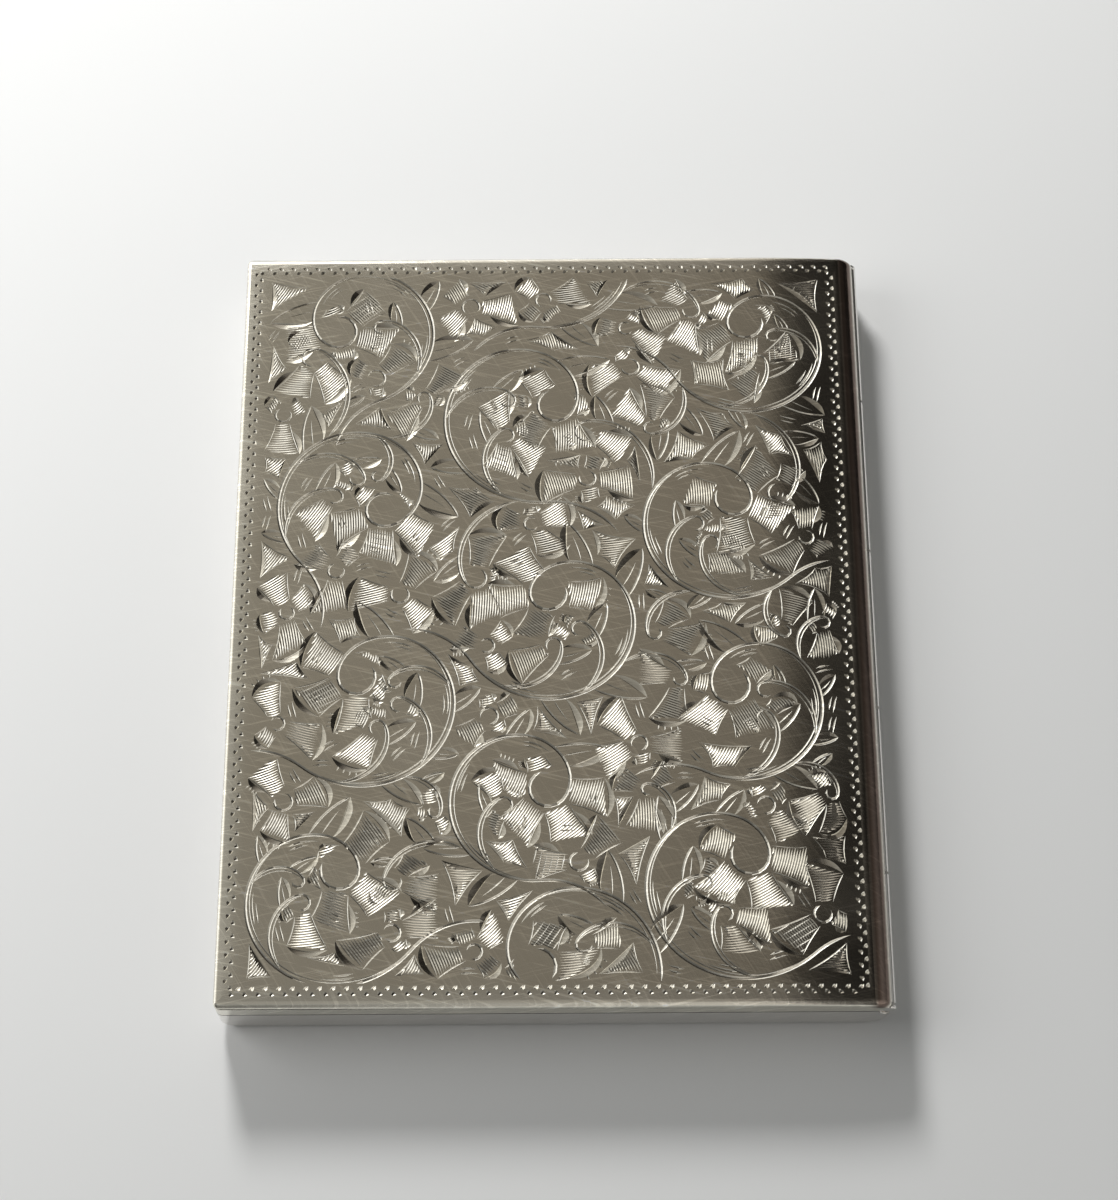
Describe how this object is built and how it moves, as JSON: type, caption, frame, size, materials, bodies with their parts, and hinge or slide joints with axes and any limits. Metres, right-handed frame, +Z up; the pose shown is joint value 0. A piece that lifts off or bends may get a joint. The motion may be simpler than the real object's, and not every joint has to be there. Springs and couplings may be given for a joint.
{
  "type": "card case",
  "caption": "Flat scroll-engraved silver card case: shallow lid and tray shells on a full-length knuckle hinge, with a flush push-button catch and a sprung card arm.",
  "frame": {"origin": "centre of the underside of the closed case, lying on its back", "axes": "+Z up through the engraved lid, +X towards the hinge, +Y along the hinge, away from the reader's edge"},
  "size_m": [0.0768, 0.096, 0.0086],
  "materials": {
    "engraved_silver": "silver, bright-cut engraved scrolls over polished flats with hairline wear",
    "polished_silver": "silver, polished with light wear",
    "satin_silver": "silver, satin",
    "spring_steel": "hardened steel, drawn"
  },
  "bodies": {
    "tray": {"base_shell": "polished_silver", "base_bezel": "satin_silver", "base_hinge_strip": "satin_silver", "base_knuckle_1": "polished_silver", "base_knuckle_3": "polished_silver", "base_knuckle_5": "polished_silver", "hinge_pin": "spring_steel", "pin_cap_far": "polished_silver", "pin_cap_near": "polished_silver", "catch_spring": "spring_steel", "spring_rivet_far": "spring_steel", "spring_rivet_near": "spring_steel", "arm_rod": "spring_steel", "arm_lug_far": "satin_silver", "arm_lug_near": "satin_silver", "arm_spring_far": "spring_steel", "arm_spring_near": "spring_steel"},
    "lid": {"lid_shell": "engraved_silver", "lid_hinge_strip": "satin_silver", "lid_knuckle_2": "polished_silver", "lid_knuckle_4": "polished_silver", "catch_keeper": "spring_steel"},
    "arm": {"card_arm": "polished_silver", "arm_sleeve_far": "polished_silver", "arm_sleeve_near": "polished_silver"},
    "catch": {"push_button": "polished_silver", "catch_tongue": "spring_steel"}
  },
  "joints": [
    {"name": "lid_hinge", "type": "hinge", "parent": "tray", "child": "lid", "pos_m": [0.03755, 0, 0.0055], "axis": [0, 1, 0], "range_deg": [0, 130]},
    {"name": "arm_lift", "type": "hinge", "parent": "tray", "child": "arm", "pos_m": [0.0332, 0, 0.0049], "axis": [0, 1, 0], "range_deg": [0, 52]},
    {"name": "button_press", "type": "slide", "parent": "tray", "child": "catch", "axis": [1, 0, 0], "range_m": [0, 0.00035]}
  ],
  "couplings": [
    {"joint": "arm_lift", "follows": "lid_hinge", "ratio": 0.4}
  ]
}
